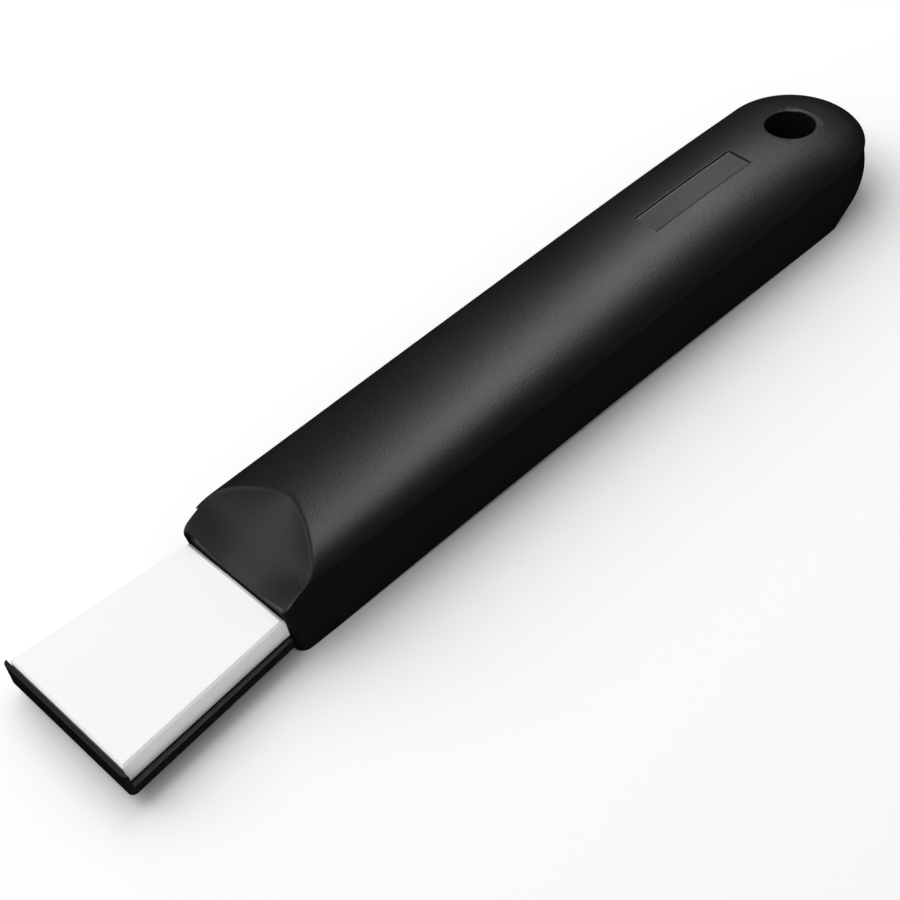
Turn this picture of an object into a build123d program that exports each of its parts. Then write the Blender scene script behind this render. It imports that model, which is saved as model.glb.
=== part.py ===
"""Hob scraper: a two-shell moulded handle that grips a black tray with a bonded white ceramic block.

The tool lies along X with its working tip at the low end, rests on Z = 0 and is centred on Y = 0.
All sizes are in millimetres.
"""

import os
from math import cos, radians, sin, sqrt, tan

from build123d import *

# Whole tool
handle_length = 159.65
head_length = 40.0
overrun = 12.0

# Handle outside
handle_width = 31.46
arch_rise = 4.62
widest_from_front = 58.5
side_radius = 9500.0
seam_front_height = 14.13
seam_tail_height = 11.8
seam_step = 0.25
front_corner_radius = 1.6
bottom_edge_radius = 0.7
front_lean_angle = 6.8

# Underside: it arches up a little between two flat feet, and rises at the tail
underside_rise = 1.0
front_foot_length = 8.0
rear_foot_length = 6.0

# Tail
tail_round_length = 13.8
tail_fall_length = 55.7
tail_rise_length = 18.85
tail_rise_angle = 31.0
tail_wall_height = 2.2
tail_end_half_width = 0.6
tail_end_height = 0.25
fall_steps = 12

# Thumb scoop, a wide shallow cone
scoop_back = 16.2
scoop_above = 0.85
scoop_axis_angle = 135.5
scoop_half_angle = 77.8
scoop_reach = 40.0

# Hanging hole and the plain recessed panel
hole_radius = 5.0
hole_from_tail = 13.75
panel_length = 26.5
panel_width = 6.4
panel_depth = 0.45
panel_from_tail = 28.15

# Moulded walls
wall = 2.2
floor_thickness = 2.2
lap_inset = 1.2
lap_height = 1.2
lap_gap = 0.08
rib_thickness = 1.4
rib_height = 6.0
ribs_from_front = (34.0, 56.0)
ribs_from_tail = (72.0, 54.0)

# Tray
tray_front_width = 38.3
tray_rear_width = 30.8
tray_lift = 3.35
tray_floor = 1.45
tray_corner_radius = 1.3
rim_height = 0.45
lip_thickness = 0.94
lip_height = 5.21
lip_edge_radius = 0.3
tray_seat_gap = 0.1
tongue_width = 23.0
tongue_thickness = 3.0
tongue_length = 28.0
tongue_gap = 0.15
tongue_end_radius = 3.0

# Block and its adhesive pad
block_front_width = 34.9
block_rear_width = 28.1
block_height = 4.45
block_bevel = 0.47
block_rear_bevel = 0.8
block_front_gap = 0.11
block_back_gap = 0.46
groove_width = 0.48
pad_thickness = 0.3
pad_inset = 1.0
pocket_gap = 0.3

# Screws
screw_radius = 1.5
screw_clearance = 0.2
pilot_gap = 0.03
head_radius = 2.8
head_height = 1.8
head_edge_radius = 0.5
head_gap = 0.35
head_recess = 0.3
drive_width = 0.9
drive_length = 3.2
drive_depth = 1.1
tongue_screw_length = 10.4
shell_screw_length = 13.0
tip_length = 1.5
tip_radius = 0.4
tip_space = 0.8
post_wall = 1.8
tongue_screw_spacing = 14.0
tongue_screw_from_front = 20.0
front_shell_screw_from_front = 72.0
rear_shell_screw_from_tail = 36.0
shell_post_height = 8.0

# Places that follow from the sizes above
tip_x = -(handle_length + head_length) / 2
tail_x = tip_x + head_length + handle_length
nose_x = tail_x - handle_length
handle_height = seam_front_height + arch_rise
widest_x = nose_x + widest_from_front
round_start = tail_x - tail_round_length
fall_start = tail_x - tail_fall_length
rise_start = tail_x - tail_rise_length
arch_start = nose_x + front_foot_length
arch_end = rise_start - rear_foot_length
hole_x = tail_x - hole_from_tail
panel_x = tail_x - panel_from_tail - panel_length / 2
seam_drop = seam_front_height - seam_tail_height
tail_underside = seam_tail_height - tail_wall_height
eye_radius = hole_radius + wall
head_pocket_radius = head_radius + head_gap
lower_post_radius = head_pocket_radius + post_wall
upper_post_radius = screw_radius + post_wall
pilot_radius = screw_radius + pilot_gap
clear_radius = screw_radius + screw_clearance
tongue_top = tray_lift + tongue_thickness
tray_floor_top = tray_lift + tray_floor
block_bottom = tray_floor_top + pad_thickness
block_front_x = tip_x + lip_thickness + block_front_gap
block_rear_x = nose_x - block_back_gap
pocket_x = block_rear_x + pocket_gap
tray_rear_x = nose_x - (tray_floor_top + rim_height) * tan(radians(front_lean_angle)) - tray_seat_gap
tongue_end_x = nose_x + tongue_length
tongue_screw_places = [
    (nose_x + tongue_screw_from_front, side * tongue_screw_spacing / 2) for side in (-1, 1)
]
shell_screw_places = [
    (nose_x + front_shell_screw_from_front, 0),
    (tail_x - rear_shell_screw_from_tail, 0),
]
screw_places = tongue_screw_places + shell_screw_places
rib_places = [nose_x + along for along in ribs_from_front] + [tail_x - along for along in ribs_from_tail]


def seam_height(x):
    """Height of the line where the two shells meet."""
    return seam_front_height - seam_drop * (x - nose_x) / handle_length


def half_width(x, inset=0.0):
    """Half the handle's width at a station, for its outline or the same outline drawn further in."""
    body = handle_width / 2 - (min(x, round_start) - widest_x) ** 2 / (2 * side_radius) - inset
    reach = max(0.0, (x - round_start) / (tail_round_length - inset))
    return body * sqrt(1 - reach**2)


def arch_height(x, inset=0.0):
    """Height of the arch above the seam at a station, for its outside or the same arch further in."""
    full = handle_height - seam_height(x) - inset
    reach = max(0.0, (x - fall_start) / (tail_fall_length - inset))
    return full * sqrt(1 - reach**2)


def stations(inset=0.0):
    """Stations along the handle, closer together where the tail rounds off."""
    straight = [nose_x - overrun, nose_x + handle_length / 4, fall_start]
    turns = [radians(90 * step / fall_steps) for step in range(1, fall_steps)]
    return straight + [fall_start + (tail_fall_length - inset) * sin(turn) for turn in turns]


def seam_plane(rise=0.0):
    """The seam's slightly tilted plane, or one that lies above it."""
    return Plane(
        origin=(nose_x, 0, seam_front_height + rise),
        x_dir=(handle_length, 0, -seam_drop),
        z_dir=(seam_drop, 0, handle_length),
    )


def underside_height(x):
    """Height of the handle's underside where it arches up between its two feet."""
    reach = (2 * x - arch_start - arch_end) / (arch_end - arch_start)
    return underside_rise * max(0.0, 1 - reach**2)


def head_seat(x):
    """Height at which a screw's head bears on the lower shell."""
    return underside_height(x) + head_recess + head_height


def ridge_height(x):
    """Height of the arch's top line at a station."""
    return seam_height(x) + arch_height(x)


def sink_panel():
    """Takes the plain recess out of the arch in hand; its floor follows the fall of the arch."""
    panel_ends = [panel_x - panel_length / 2, panel_x, panel_x + panel_length / 2]
    front, middle, rear = ((x, ridge_height(x) - panel_depth) for x in panel_ends)
    with BuildSketch(Plane.XZ, mode=Mode.PRIVATE) as recess:
        with BuildLine():
            ThreePointArc(front, middle, rear)
            Polyline(
                rear,
                (rear[0], handle_height + overrun),
                (front[0], handle_height + overrun),
                front,
            )
        make_face()
    extrude(recess.sketch, amount=panel_width / 2, both=True, mode=Mode.SUBTRACT)


def clear_underside(inset=0.0):
    """Takes what lies below the handle's underside out of the part in hand, or leaves a floor above it."""
    rise_x = rise_start - inset * tan(radians(tail_rise_angle / 2))
    lip_x = rise_x + tail_underside / tan(radians(tail_rise_angle))
    with BuildSketch(Plane.XZ, mode=Mode.PRIVATE) as below:
        with BuildLine():
            Polyline(
                (arch_start, inset),
                (nose_x - overrun, inset),
                (nose_x - overrun, -overrun),
                (tail_x + overrun, -overrun),
                (tail_x + overrun, tail_underside + inset),
                (lip_x, tail_underside + inset),
                (rise_x, inset),
                (arch_end, inset),
            )
            ThreePointArc(
                (arch_end, inset),
                ((arch_start + arch_end) / 2, inset + underside_rise),
                (arch_start, inset),
            )
        make_face()
    extrude(below.sketch, amount=handle_width, both=True, mode=Mode.SUBTRACT)


def front_plane(inset=0.0):
    """The handle's front wall, which leans a little towards the tip."""
    lean = radians(front_lean_angle)
    return Plane(
        origin=(nose_x + inset / cos(lean), 0, 0),
        x_dir=(0, 1, 0),
        z_dir=(-cos(lean), 0, -sin(lean)),
    )


def scoop_cone(inset=0.0):
    """Takes the scoop's cone out of the part in hand; an inset leaves a wall behind it."""
    angle = radians(scoop_axis_angle)
    back = inset / sin(radians(scoop_half_angle))
    apex_x = nose_x + scoop_back - back * cos(angle)
    apex_z = handle_height + scoop_above - back * sin(angle)
    opening = Plane(origin=(apex_x, 0, apex_z), x_dir=(0, 1, 0), z_dir=(cos(angle), 0, sin(angle)))
    with Locations(opening.location):
        Cone(
            bottom_radius=0,
            top_radius=scoop_reach * tan(radians(scoop_half_angle)),
            height=scoop_reach,
            align=(Align.CENTER, Align.CENTER, Align.MIN),
            mode=Mode.SUBTRACT,
        )


def arch_sections(inset=0.0):
    """Half-ellipses across the arch that stand on the seam, down to the tail's blunt end."""
    sizes = [(x, half_width(x, inset), arch_height(x, inset)) for x in stations(inset)]
    sections = []
    for x, across, up in [*sizes, (tail_x - inset, tail_end_half_width, tail_end_height)]:
        with BuildSketch(Plane.YZ.offset(x), mode=Mode.PRIVATE) as section:
            with BuildLine():
                EllipticalCenterArc((0, seam_height(x)), across, up, start_angle=0, arc_size=180)
                Line((-across, seam_height(x)), (across, seam_height(x)))
            make_face()
        sections.append(section.sketch)
    return sections


def plan(height, inset=0.0):
    """The handle's plan at a height, or the same plan drawn further in."""
    front_x = nose_x - overrun
    front_y, widest_y, tail_y = (half_width(x, inset) for x in (front_x, widest_x, round_start))
    with BuildSketch(Plane.XY.offset(height), mode=Mode.PRIVATE) as outline:
        with BuildLine():
            for side in (-1, 1):
                Spline((front_x, side * front_y), (widest_x, side * widest_y), (round_start, side * tail_y))
            EllipticalCenterArc(
                (round_start, 0),
                tail_round_length - inset,
                tail_y,
                start_angle=-90,
                arc_size=180,
            )
            Line((front_x, -front_y), (front_x, front_y))
        make_face()
    return outline.sketch


def upright(x, y, radius, low, high, mode=Mode.ADD):
    """A round post or hole between two heights."""
    with Locations((x, y, low)):
        Cylinder(radius, high - low, align=(Align.CENTER, Align.CENTER, Align.MIN), mode=mode)


def block_of(x_low, x_high, width, low, high, mode=Mode.ADD, y=0.0):
    """A rectangular rib, slot or pocket between two heights."""
    with Locations((x_low, y, low)):
        Box(x_high - x_low, width, high - low, align=(Align.MIN, Align.CENTER, Align.MIN), mode=mode)


def wedge_plan(height, x_low, x_high, width_low, width_high):
    """A plan that narrows evenly from one end to the other."""
    with BuildSketch(Plane.XY.offset(height), mode=Mode.PRIVATE) as outline:
        corners = [
            (x_low, -width_low / 2),
            (x_high, -width_high / 2),
            (x_high, width_high / 2),
            (x_low, width_low / 2),
        ]
        Polygon(*corners, align=None)
    return outline.sketch


def leave_standing():
    """Takes the scoop's wall, the eye and the screw posts out of the hollow, so that they stay solid."""
    upright(hole_x, 0, eye_radius, 0, handle_height, Mode.SUBTRACT)
    for x, y in screw_places:
        upright(x, y, upper_post_radius, 0, handle_height, Mode.SUBTRACT)
    scoop_cone(wall)


# The hollow inside the upper shell, and the recess around its edge for the lower shell's lip
with BuildPart() as upper_hollow:
    loft(sections=arch_sections(wall), ruled=True)
    leave_standing()

with BuildPart() as lap_recess:
    extrude(plan(0, lap_inset - lap_gap), amount=handle_height)
    leave_standing()
    split(bisect_by=seam_plane(), keep=Keep.TOP)
    split(bisect_by=seam_plane(lap_height + lap_gap), keep=Keep.BOTTOM)

# The upper shell
with BuildPart() as upper_shell:
    loft(sections=arch_sections(), ruled=True)
    add(upper_hollow.part, mode=Mode.SUBTRACT)
    add(lap_recess.part, mode=Mode.SUBTRACT)
    scoop_cone()
    for x, y in tongue_screw_places:
        upright(x, y, upper_post_radius, tongue_top, seam_height(x) + lap_height)
        pilot_top = head_seat(x) + tongue_screw_length + tip_space
        upright(x, y, pilot_radius, tongue_top, pilot_top, Mode.SUBTRACT)
    for x, y in shell_screw_places:
        upright(x, y, upper_post_radius, shell_post_height, seam_height(x) + lap_height)
        pilot_top = head_seat(x) + shell_screw_length + tip_space
        upright(x, y, pilot_radius, shell_post_height, pilot_top, Mode.SUBTRACT)
    upright(hole_x, 0, hole_radius, 0, handle_height, Mode.SUBTRACT)
    sink_panel()
upper_shell.part.label = "handle_top_shell"

# The hollow inside the lower shell: it leaves the ribs, the tongue's cradle, the eye and the posts standing
with BuildPart() as lower_hollow:
    extrude(plan(0, wall), amount=handle_height)
    split(bisect_by=seam_plane(), keep=Keep.BOTTOM)
    split(bisect_by=front_plane(wall), keep=Keep.BOTTOM)
    clear_underside(floor_thickness)
    scoop_cone(wall)
    upright(hole_x, 0, eye_radius, 0, handle_height, Mode.SUBTRACT)
    for x, y in tongue_screw_places:
        upright(x, y, lower_post_radius, 0, tray_lift, Mode.SUBTRACT)
    for x, y in shell_screw_places:
        upright(x, y, lower_post_radius, 0, shell_post_height, Mode.SUBTRACT)
    for rib_x in rib_places:
        block_of(rib_x, rib_x + rib_thickness, handle_width, 0, rib_height, Mode.SUBTRACT)
    for side in (-1, 1):
        guide_y = side * (tongue_width / 2 + tongue_gap + rib_thickness / 2)
        block_of(nose_x, tongue_end_x, rib_thickness, 0, tongue_top, Mode.SUBTRACT, guide_y)
        bearer_y = side * (tongue_width - rib_thickness) / 2
        block_of(nose_x, tongue_end_x, rib_thickness, 0, tray_lift, Mode.SUBTRACT, bearer_y)

# The lip that locates the upper shell
with BuildPart() as lap_lip:
    extrude(plan(0, lap_inset), amount=handle_height)
    split(bisect_by=seam_plane(), keep=Keep.TOP)
    split(bisect_by=seam_plane(lap_height), keep=Keep.BOTTOM)
    extrude(plan(0, wall), amount=handle_height, mode=Mode.SUBTRACT)
    scoop_cone(wall + lap_gap)
    upright(hole_x, 0, eye_radius + lap_gap, 0, handle_height, Mode.SUBTRACT)

# The lower shell
with BuildPart() as lower_shell:
    extrude(plan(0, seam_step), amount=handle_height)
    split(bisect_by=seam_plane(), keep=Keep.BOTTOM)
    split(bisect_by=front_plane(), keep=Keep.BOTTOM)
    front_edges = lower_shell.faces().sort_by(Axis.X)[0].edges().sort_by(Axis.Y)
    fillet([front_edges[0], front_edges[-1]], front_corner_radius)
    clear_underside()
    down_share = cos(radians(2 * tail_rise_angle))
    undersides = lower_shell.faces().filter_by(lambda face: face.normal_at().Z < -down_share)
    across = undersides.edges().filter_by(Axis.Y).sort_by(Axis.X)
    fillet([edge for edge in undersides.edges() if edge not in across[1:]], bottom_edge_radius)
    add(lower_hollow.part, mode=Mode.SUBTRACT)
    add(lap_lip.part)
    scoop_cone()
    block_of(
        nose_x - overrun,
        pocket_x,
        block_rear_width + 2 * pocket_gap,
        tray_lift,
        handle_height,
        Mode.SUBTRACT,
    )
    block_of(
        nose_x - overrun,
        tongue_end_x,
        tongue_width + 2 * tongue_gap,
        tray_lift,
        tongue_top,
        Mode.SUBTRACT,
    )
    for x, y in screw_places:
        upright(x, y, head_pocket_radius, 0, head_seat(x), Mode.SUBTRACT)
        upright(x, y, clear_radius, 0, shell_post_height, Mode.SUBTRACT)
    upright(hole_x, 0, hole_radius, 0, handle_height, Mode.SUBTRACT)
lower_shell.part.label = "handle_bottom_shell"

# The tray: floor, side rims, front lip and the tongue that runs back into the handle
tray_inner_front = block_front_width + 2 * groove_width
tray_inner_rear = block_rear_width + 2 * groove_width
with BuildPart() as tray:
    with BuildSketch(Plane.XY.offset(tray_lift)) as tray_plan:
        add(wedge_plan(0, tip_x, tray_rear_x, tray_front_width, tray_rear_width))
        fillet(tray_plan.vertices().group_by(Axis.X)[0], radius=tray_corner_radius)
    extrude(amount=tray_floor + rim_height)
    extrude(
        wedge_plan(tray_floor_top, tip_x + lip_thickness, nose_x, tray_inner_front, tray_inner_rear),
        amount=rim_height,
        mode=Mode.SUBTRACT,
    )
    with BuildSketch(Plane.XY.offset(tray_lift)):
        add(tray_plan.sketch_local)
        with Locations((tip_x, 0)):
            Rectangle(lip_thickness, tray_front_width, align=(Align.MIN, Align.CENTER), mode=Mode.INTERSECT)
    extrude(amount=lip_height)
    fillet(tray.faces().sort_by(Axis.Z)[-1].edges(), radius=lip_edge_radius)
    block_of(tray_rear_x - overrun, pocket_x, tongue_width, tray_lift, tray_floor_top)
    with BuildSketch(Plane.XY.offset(tray_lift)) as tongue_plan:
        with Locations(((pocket_x + tongue_end_x) / 2, 0)):
            Rectangle(tongue_end_x - pocket_x, tongue_width)
        fillet(tongue_plan.vertices().group_by(Axis.X)[-1], radius=tongue_end_radius)
        with Locations(*tongue_screw_places):
            Circle(clear_radius, mode=Mode.SUBTRACT)
    extrude(amount=tongue_thickness)
tray.part.label = "head_tray"

# The adhesive pad under the block
with BuildPart() as pad:
    extrude(
        wedge_plan(
            tray_floor_top,
            block_front_x + pad_inset,
            tray_rear_x - pad_inset,
            block_front_width - 2 * pad_inset,
            block_rear_width - 2 * pad_inset,
        ),
        amount=pad_thickness,
    )
pad.part.label = "block_adhesive_pad"

# The white ceramic block
with BuildPart() as block:
    extrude(
        wedge_plan(block_bottom, block_front_x, block_rear_x, block_front_width, block_rear_width),
        amount=block_height,
    )
    top_edges = block.faces().sort_by(Axis.Z)[-1].edges().sort_by(Axis.X)
    chamfer(top_edges[-1], length=block_rear_bevel)
    chamfer(block.faces().sort_by(Axis.Z)[-1].edges().sort_by(Axis.X)[:3], length=block_bevel)
block.part.label = "ceramic_block"


def screw_group(places, length):
    """Upright pan-head screws whose heads sit in the lower shell's pockets."""
    for x, y in places:
        seat = head_seat(x)
        upright(x, y, head_radius, seat - head_height, seat)
        fillet(edges(Select.LAST).sort_by(Axis.Z)[0], head_edge_radius)
        upright(x, y, screw_radius, seat, seat + length - tip_length)
        with Locations((x, y, seat + length - tip_length)):
            Cone(screw_radius, tip_radius, tip_length, align=(Align.CENTER, Align.CENTER, Align.MIN))
        for turn in (0, 90):
            with Locations(Location((x, y, seat - head_height), (0, 0, turn))):
                Box(
                    drive_length,
                    drive_width,
                    drive_depth,
                    align=(Align.CENTER, Align.CENTER, Align.MIN),
                    mode=Mode.SUBTRACT,
                )


# The screws that pass through the tongue
with BuildPart() as tongue_screws:
    screw_group(tongue_screw_places, tongue_screw_length)
tongue_screws.part.label = "tongue_screws"

# The screws that only join the shells
with BuildPart() as shell_screws:
    screw_group(shell_screw_places, shell_screw_length)
shell_screws.part.label = "shell_screws"

os.makedirs("parts", exist_ok=True)
for piece in (upper_shell, lower_shell, tray, pad, block, tongue_screws, shell_screws):
    export_step(piece.part, f"parts/{piece.part.label}.step")
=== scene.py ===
"""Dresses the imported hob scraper: two moulded handle shells, a tray and a white ceramic block.

The tool lies along X with its tip at the low end. Shapes are worked out in millimetres and
scaled to metres when a piece is finished.
"""

import math

import bmesh
import bpy
from mathutils import Matrix, Vector


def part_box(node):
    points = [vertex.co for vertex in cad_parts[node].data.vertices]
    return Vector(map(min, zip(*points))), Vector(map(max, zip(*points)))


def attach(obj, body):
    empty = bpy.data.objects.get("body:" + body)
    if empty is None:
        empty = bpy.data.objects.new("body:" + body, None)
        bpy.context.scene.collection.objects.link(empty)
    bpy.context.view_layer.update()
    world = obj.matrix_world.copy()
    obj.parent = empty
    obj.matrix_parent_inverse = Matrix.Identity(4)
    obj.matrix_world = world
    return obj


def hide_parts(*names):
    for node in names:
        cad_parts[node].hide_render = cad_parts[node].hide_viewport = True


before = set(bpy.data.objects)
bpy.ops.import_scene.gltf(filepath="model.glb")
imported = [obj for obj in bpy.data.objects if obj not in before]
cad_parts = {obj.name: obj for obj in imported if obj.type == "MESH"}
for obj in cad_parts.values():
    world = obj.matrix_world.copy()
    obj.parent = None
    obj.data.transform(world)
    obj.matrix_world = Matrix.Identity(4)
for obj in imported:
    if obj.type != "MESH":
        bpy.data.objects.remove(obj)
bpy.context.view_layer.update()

bl_info = {
    "name": "Hob Scraper",
    "version": (1, 0, 0),
    "blender": (4, 5, 0),
    "location": "View3D > Sidebar > Scraper",
    "description": "Builds a hob scraper with a moulded handle, a tray and a ceramic block",
    "category": "Object",
}

MM = 0.001
BODY = "root"
OVERRUN = 12.0
TINY = 1e-6
MERGE = 1e-4
SHELL_MERGE = 2e-3

# Handle's outside in millimetres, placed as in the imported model
HANDLE_LENGTH = 159.65
HEAD_LENGTH = 40.0
HANDLE_WIDTH = 31.46
HANDLE_TOP_Z = 18.75
SEAM_FRONT_Z = 14.13
SEAM_TAIL_Z = 11.8
SEAM_STEP = 0.25
WIDEST_FROM_FRONT = 58.5
SIDE_RADIUS = 9500.0
TAIL_ROUND = 13.8
TAIL_FALL = 55.7
TAIL_RISE = 18.85
TAIL_RISE_ANGLE = math.radians(31.0)
TAIL_WALL = 2.2
UNDERSIDE_RISE = 1.0
FRONT_FOOT = 8.0
REAR_FOOT = 6.0
FRONT_LEAN = math.radians(6.8)
FRONT_CORNER = 2.2
BOTTOM_ROUND = 1.1
BRIM_ROUND = 0.15
SEAM_FLARE = 0.2
FLARE_HEIGHT = 0.9
CORNER_SHARE = 0.4

# Thumb scoop: a wide shallow cone whose foot swells
SCOOP_BACK = 16.2
SCOOP_ABOVE = 0.85
SCOOP_AXIS = math.radians(135.5)
SCOOP_HALF = math.radians(77.8)
FOOT_START = 8.0
FOOT_LENGTH = 9.0
FOOT_LIFT = 0.8
FOOT_SIDE_LIFT = 1.3
FOOT_SIDE_START = 2.0
FOOT_SIDE_LENGTH = 14.0
RIM_SEARCH = 3.0
FOOT_SEARCH = 8.0
BLEND_REACH = 22.0

# Rounding of the scoop's rim in the upper shell, as shares of its radius and of the scoop's run
RIM_SPAN_SHARE = 1.6
RIM_FRONT_SHARE = 0.8
RIM_FRONT_RUN_SHARE = 0.45
RIM_REAR_RUN_SHARE = 1.2

# Steps inwards from the lower shell's outline, close together where the scoop's rim rolls down
RIM_STEPS = (-2.0, 0.0, 0.02, 0.05, 0.1, 0.17, 0.28, 0.45, 0.7, 1.0, 1.4, 1.9, 2.5)
SCOOP_TOUCH = 0.03
SCOOP_TILT = 0.15
SCOOP_END = 6.0

# Hanging hole and plain panel
HOLE_FROM_TAIL = 13.75
HOLE_SURROUND = 3.4
HOLE_RINGS = (0.35, 0.7, 1.0)
HOLE_TURNS = (22.5, 45.0, 67.5, 90.0)
HOLE_FOOT_ROUND = 0.3
HOLE_FOOT_CLEAR = 1.5
HOLE_TOUCH = 0.05
PANEL_LENGTH = 26.5
PANEL_WIDTH = 6.4
PANEL_FROM_TAIL = 28.15
PANEL_WALL_RUN = 0.12
PANEL_ABOVE_SEAM = 1.0

# Tray, block and their seat in the handle
TRAY_LIFT = 3.35
TRAY_FLOOR_Z = 4.8
RIM_Z = 5.25
LIP_Z = 8.56
LIP_THICKNESS = 0.94
TRAY_FRONT_WIDTH = 38.3
TRAY_REAR_WIDTH = 30.8
TRAY_REAR_GAP = 0.1
TRAY_CORNER = 1.3
GROOVE = 0.48
TONGUE_WIDTH = 23.0
TONGUE_TOP_Z = 6.35
TONGUE_LENGTH = 28.0
TONGUE_ROUND = 0.4
TONGUE_LIFT = 0.01
NECK_INSET = 0.05
NECK_OVERLAP = 1.0
BLOCK_FRONT_WIDTH = 34.9
BLOCK_REAR_WIDTH = 28.1
BLOCK_BOTTOM_Z = 5.1
BLOCK_HEIGHT = 4.45
BLOCK_FRONT_GAP = 0.11
BLOCK_BACK_GAP = 0.46
POCKET_GAP = 0.3

# Screw pockets in the underside
POCKET_RADIUS = 3.15
SCREW_SEAT = 2.1
SCREW_PLACES = ((20.0, 7.0), (20.0, -7.0), (72.0, 0.0), (123.65, 0.0))

# How finely the shapes are divided
HALF_COLUMNS = 44
PANEL_COLUMNS = 6
EDGE_COLUMNS = 3
SCOOP_ROWS = 10
RIM_ROWS = 5
BLEND_ROWS = 16
BODY_ROWS = 54
PANEL_ROWS = 20
REAR_ROWS = 12
TAIL_ROWS = 30
WALL_ROWS = 56
WALL_TAIL_ROWS = 40
SOLE_ROWS = 32
CUTTER_COLUMNS = 12
CUTTER_ROWS = 24
POCKET_SIDES = 48
HOLE_SIDES = 96

# What counts as facing a way, from the parts of a face's unit normal
SQUARE_ON = 0.9
DOWNWARD = -0.5
UPRIGHT = 0.35

# Small distances that tell one edge from another, in millimetres
NEAR = 0.1
HAIR = 0.01

# Shading and finishes
SHADE_ANGLE = math.radians(28)
FACE_WEIGHT = 60
GRAIN_DEPTH = 0.12
PIT_SHARE = 0.65
RIPPLE_SHARE = 0.35
RIPPLE_SCALE = 0.37
PATCH_SCALE = 45.0
FOAM_COLOUR = (0.05, 0.05, 0.05, 1.0)
ZINC_COLOUR = (0.56, 0.56, 0.57)

# Stage, in metres and degrees: each light's place, aim, width, height and turn
STRIP_LIGHT = ((0.25, 0.163, 0.543), (0.03, 0.0, 0.015), 0.16, 0.6, -5)
SIDE_LIGHT = ((-0.33, 0.34, 0.31), (-0.05, 0.0, 0.01), 0.3, 0.3, 0)
RIM_LIGHT = ((-0.48, -0.30, 0.53), (-0.055, -0.01, 0.01), 0.12, 0.12, 0)
SHADOW_LIGHT = ((-0.05, 0.5, 0.7), (0.0, 0.0, 0.0), 1.3, 1.3, 0)
SURROUND_STRENGTH = 0.5
FLOOR_REACH = 6.0
CAMERA_ANGLES = (-31.693, 45.531, -14.164)
CAMERA_PLACE = (-0.166525, -0.2532, 0.3045)

tip_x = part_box("head_tray")[0].x / MM
nose_x = tip_x + HEAD_LENGTH
tail_x = nose_x + HANDLE_LENGTH
widest_x = nose_x + WIDEST_FROM_FRONT
round_start = tail_x - TAIL_ROUND
fall_start = tail_x - TAIL_FALL
rise_start = tail_x - TAIL_RISE
hole_x = tail_x - HOLE_FROM_TAIL
panel_rear_x = tail_x - PANEL_FROM_TAIL
panel_front_x = panel_rear_x - PANEL_LENGTH
panel_column = PANEL_COLUMNS / HALF_COLUMNS
apex_x = nose_x + SCOOP_BACK
apex_z = HANDLE_TOP_Z + SCOOP_ABOVE
sole_start = nose_x + FRONT_FOOT
sole_end = rise_start - REAR_FOOT
block_front_x = tip_x + LIP_THICKNESS + BLOCK_FRONT_GAP
block_rear_x = nose_x - BLOCK_BACK_GAP
pocket_x = block_rear_x + POCKET_GAP
tray_rear_x = nose_x - RIM_Z * math.tan(FRONT_LEAN) - TRAY_REAR_GAP


def size(what, about, default):
    """A length that a user would change."""
    return bpy.props.FloatProperty(
        name=what, description=about, default=default * MM, min=0.0, unit="LENGTH", precision=5
    )


def colour(what, about, default):
    """A colour that a user would change."""
    return bpy.props.FloatVectorProperty(
        name=what, description=about, default=default, size=4, min=0.0, max=1.0, subtype="COLOR"
    )


def share(what, about, default):
    """A value from 0 to 1 that a user would change."""
    return bpy.props.FloatProperty(
        name=what, description=about, default=default, min=0.0, max=1.0
    )


def power(what, about, default):
    """The power of a light that a user would change."""
    return bpy.props.FloatProperty(name=what, description=about, default=default, min=0.0)


class ScraperHandleSettings(bpy.types.PropertyGroup):
    """Edges and finish of the two handle shells."""

    hole_radius: size("Hole radius", "Radius of the hanging hole", 5.0)
    hole_round: size("Hole edge", "Rounding of the hanging hole's edge", 0.3)
    rim_round: size("Scoop rim", "Rounding of the scoop's rim", 0.38)
    seam_round: size("Seam edge", "Rounding of the upper shell's lower edge", 0.4)
    panel_depth: size("Panel depth", "Depth of the plain recessed panel", 0.45)
    panel_round: size("Panel edge", "Rounding of the panel's edge", 0.1)
    plastic: colour("Plastic", "Colour of the handle's plastic", (0.0085, 0.0085, 0.0088, 1.0))
    grain: share("Grain", "Strength of the moulded grain", 0.4)
    roughness: share("Roughness", "Roughness of the grained plastic", 0.41)


class ScraperTraySettings(bpy.types.PropertyGroup):
    """Edges and finish of the tray."""

    lip_round: size("Lip edge", "Rounding of the front lip", 0.3)
    edge_round: size("Other edges", "Rounding of the rims and the underside", 0.12)
    plastic: colour("Plastic", "Colour of the tray's plastic", (0.0085, 0.0085, 0.0088, 1.0))


class ScraperBlockSettings(bpy.types.PropertyGroup):
    """Edges and finish of the ceramic block."""

    bevel: size("Bevel", "Bevel along the front and the sides", 0.47)
    rear_bevel: size("Rear bevel", "Bevel along the rear edge", 0.8)
    edge_round: size("Edge rounding", "Small rounding of every edge", 0.06)
    ceramic: colour("Ceramic", "Colour of the white block", (0.81, 0.808, 0.795, 1.0))


class ScraperStageSettings(bpy.types.PropertyGroup):
    """Floor, lights and camera."""

    floor: colour("Floor", "Colour of the pale floor", (0.92, 0.92, 0.92, 1.0))
    key_power: power("Strip light", "Power of the long soft light above the handle", 1.75)
    fill_power: power("Side light", "Power of the soft light that the scoop mirrors", 0.35)
    rim_power: power("Rim light", "Power of the small light that picks out the scoop's rim", 2.0)
    shadow_power: power("Shadow light", "Power of the soft light that casts the shadow", 9.4)
    lens: bpy.props.FloatProperty(
        name="Focal length",
        description="Camera's focal length in millimetres",
        default=89.86,
        min=1.0,
    )


# Steps


def smooth_steps(count):
    """Shares from 0 to 1 in even steps."""
    return [step / count for step in range(count + 1)]


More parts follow.
